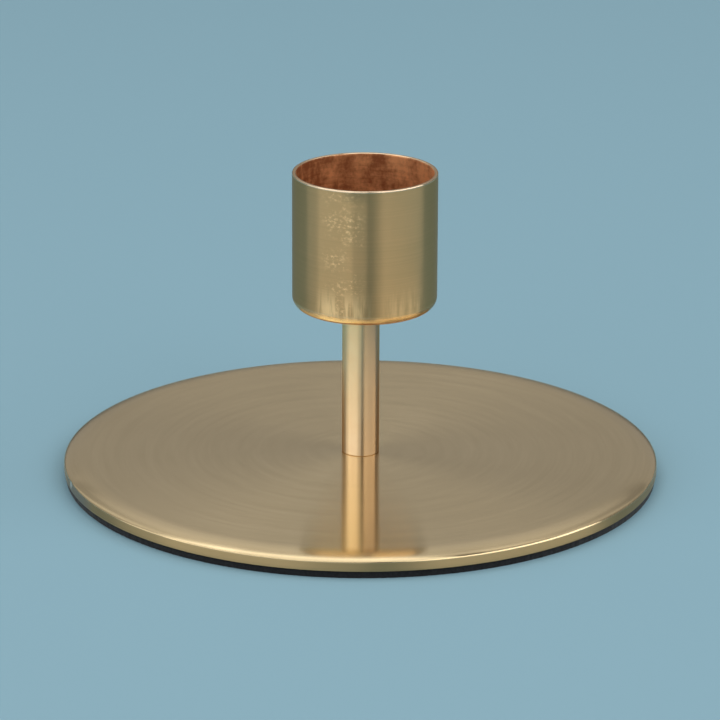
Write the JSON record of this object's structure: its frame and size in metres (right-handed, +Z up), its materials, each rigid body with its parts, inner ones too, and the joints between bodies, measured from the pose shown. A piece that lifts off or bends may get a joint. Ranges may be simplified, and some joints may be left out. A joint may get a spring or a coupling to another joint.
{
  "type": "taper candle holder",
  "caption": "Brass holder for a dinner candle: felt-backed round base plate, slim stem and a deep round cup.",
  "frame": {"origin": "middle of the felt's underside, where the holder stands", "axes": "+Z up along the stem, +X to the right, +Y away from the viewer"},
  "size_m": [0.1, 0.1, 0.0525],
  "materials": {
    "plate_brass": "satin, with fine brushing in circles about the middle, lacquered",
    "stem_brass": "polished",
    "cup_brass": "satin, with fine brushing round the cup, and a raw copper-brown inside",
    "felt": "pressed felt, matte black",
    "adhesive": "thin double-sided film",
    "zinc_steel": "zinc-plated steel"
  },
  "bodies": {
    "root": {"felt_pad": "felt", "adhesive_film": "adhesive", "base_plate": "plate_brass", "base_screw": "zinc_steel", "stem": "stem_brass", "cup": "cup_brass", "lock_washer": "zinc_steel", "cup_screw": "zinc_steel"}
  },
  "joints": []
}
